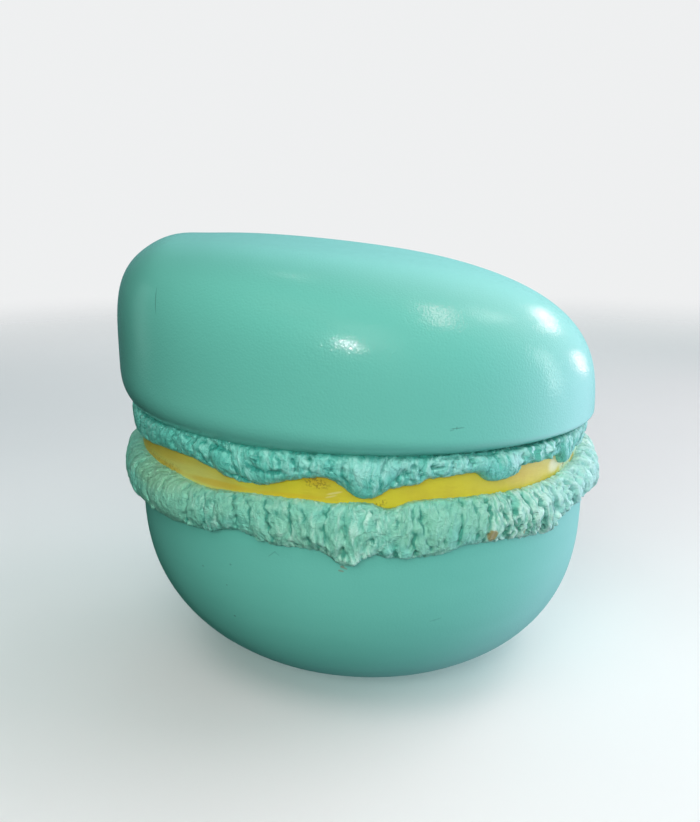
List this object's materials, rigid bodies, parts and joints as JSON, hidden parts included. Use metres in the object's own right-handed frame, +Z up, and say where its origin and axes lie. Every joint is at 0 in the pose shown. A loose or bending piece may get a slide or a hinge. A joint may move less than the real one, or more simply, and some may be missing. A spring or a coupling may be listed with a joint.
{
  "type": "giant macaron display prop",
  "caption": "Oversized hand-made foam macaron for display: two painted domed shells with a foam foot round each and a painted filling between them.",
  "frame": {"origin": "on the floor, at the middle of the outline seen from above", "axes": "+Z up out of the crown of the top shell, +X towards the low side of the top shell, -Y towards the front, where the feet's longest drips hang"},
  "size_m": [0.4876, 0.48, 0.4314],
  "materials": {
    "top_shell_paint": "turquoise enamel over a hard coat, semi-gloss with an orange-peel grain",
    "bottom_shell_paint": "turquoise enamel over a hard coat, satin, with a few scuffs",
    "top_foot_paint": "turquoise paint on gunned expanding foam, lobed and wrinkled",
    "bottom_foot_paint": "paler mint paint on gunned expanding foam, ridged across its run, with bare ochre chips",
    "filling_paint": "mustard-yellow paint, smooth, slightly smudged"
  },
  "bodies": {
    "root": {"shell_bottom": "bottom_shell_paint", "foot_bottom": "bottom_foot_paint", "filling": "filling_paint", "foot_top": "top_foot_paint", "shell_top": "top_shell_paint"}
  },
  "joints": []
}
